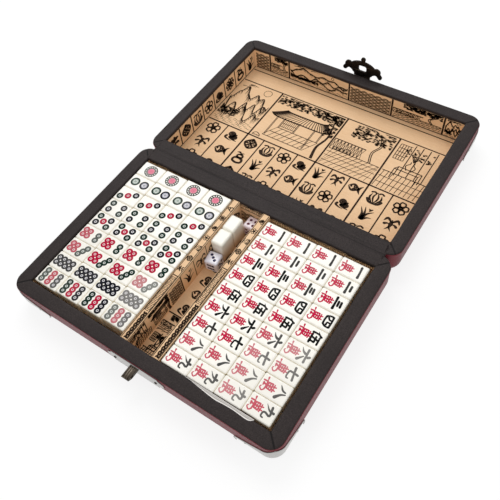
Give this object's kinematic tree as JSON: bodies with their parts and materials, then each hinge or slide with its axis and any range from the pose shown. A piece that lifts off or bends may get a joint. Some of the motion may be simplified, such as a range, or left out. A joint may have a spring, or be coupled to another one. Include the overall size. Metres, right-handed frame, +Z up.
{
  "type": "travel mahjong set",
  "caption": "Book-shaped case that folds open flat, its base divided into compartments of mahjong tiles with dice, and shut by a hasp over a staple.",
  "frame": {"origin": "centre of the base's underside, on the table", "axes": "+Z up, +X along the hinge, +Y from the clasp side of the base towards the open lid"},
  "size_m": [0.2422, 0.3491, 0.0459],
  "materials": {
    "burgundy_leatherette": "glossy embossed leatherette",
    "dark_leatherette": "matt grained leatherette",
    "case_board": "plain fibre board, covered",
    "printed_paper": "tan paper with brown line print",
    "nickel": "aged pale metal",
    "dark_bronze": "blackened antique bronze",
    "tile_resin": "ivory-white polished resin",
    "die_lilac": "pale lilac-white",
    "die_pink": "pinkish white"
  },
  "bodies": {
    "base": {"base_floor_board": "case_board", "base_hinge_board": "case_board", "base_clasp_board": "case_board", "base_left_board": "case_board", "base_right_board": "case_board", "base_bottom_wrap": "burgundy_leatherette", "base_side_wrap": "burgundy_leatherette", "base_rim_trim": "dark_leatherette", "base_hinge_band": "dark_leatherette", "base_floor_lining": "printed_paper", "base_wall_lining": "printed_paper", "base_corner_caps": "nickel", "base_cap_nails": "dark_bronze", "left_divider": "printed_paper", "right_divider": "printed_paper", "strike_plate": "nickel", "strike_nails": "dark_bronze", "lock_staple": "dark_bronze"},
    "lid": {"lid_floor_board": "case_board", "lid_hinge_board": "case_board", "lid_clasp_board": "case_board", "lid_left_board": "case_board", "lid_right_board": "case_board", "lid_bottom_wrap": "burgundy_leatherette", "lid_side_wrap": "burgundy_leatherette", "lid_rim_trim": "dark_leatherette", "lid_hinge_band": "dark_leatherette", "lid_floor_lining": "printed_paper", "lid_wall_lining": "printed_paper", "lid_corner_caps": "nickel", "lid_cap_nails": "dark_bronze", "hasp_mount": "dark_bronze", "hasp_pin": "dark_bronze", "hasp_nails": "dark_bronze"},
    "hasp_plate": {"hasp": "dark_bronze"},
    "left_lower_layer": {"bamboo_tiles": "tile_resin"},
    "left_upper_layer": {"circle_tiles_1": "tile_resin", "circle_tiles_2": "tile_resin", "circle_tiles_3": "tile_resin", "circle_tiles_4": "tile_resin", "circle_tiles_5": "tile_resin", "circle_tiles_6": "tile_resin", "circle_tiles_7": "tile_resin", "circle_tiles_8": "tile_resin", "circle_tiles_9": "tile_resin"},
    "right_lower_layer": {"wind_tiles": "tile_resin", "dragon_tiles": "tile_resin", "flower_tiles": "tile_resin"},
    "right_upper_layer": {"character_tiles_1": "tile_resin", "character_tiles_2": "tile_resin", "character_tiles_3": "tile_resin", "character_tiles_4": "tile_resin", "character_tiles_5": "tile_resin", "character_tiles_6": "tile_resin", "character_tiles_7": "tile_resin", "character_tiles_8": "tile_resin", "character_tiles_9": "tile_resin"},
    "spare_pair": {"spare_tiles": "tile_resin"},
    "near_die": {"front_die": "die_lilac"},
    "far_die": {"back_die": "die_pink"}
  },
  "joints": [
    {"name": "lid_fold", "type": "hinge", "parent": "base", "child": "lid", "pos_m": [0, 0.08435, 0.027], "axis": [-1, 0, 0], "range_deg": [-180, 0]},
    {"name": "hasp_swing", "type": "hinge", "parent": "lid", "child": "hasp_plate", "pos_m": [0.003, 0.2536, 0.023], "axis": [-1, 0, 0], "range_deg": [0, 170]},
    {"name": "left_stack_lift", "type": "slide", "parent": "base", "child": "left_lower_layer", "axis": [0, 0, 1], "range_m": [0, 0.03]},
    {"name": "circle_layer_lift", "type": "slide", "parent": "left_lower_layer", "child": "left_upper_layer", "axis": [0, 0, 1], "range_m": [0, 0.03]},
    {"name": "right_stack_lift", "type": "slide", "parent": "base", "child": "right_lower_layer", "axis": [0, 0, 1], "range_m": [0, 0.03]},
    {"name": "character_layer_lift", "type": "slide", "parent": "right_lower_layer", "child": "right_upper_layer", "axis": [0, 0, 1], "range_m": [0, 0.03]},
    {"name": "spare_pair_lift", "type": "slide", "parent": "base", "child": "spare_pair", "axis": [0, 0, 1], "range_m": [0, 0.03]},
    {"name": "near_die_lift", "type": "slide", "parent": "base", "child": "near_die", "axis": [0, 0, 1], "range_m": [0, 0.03]},
    {"name": "far_die_lift", "type": "slide", "parent": "base", "child": "far_die", "axis": [0, 0, 1], "range_m": [0, 0.03]}
  ]
}
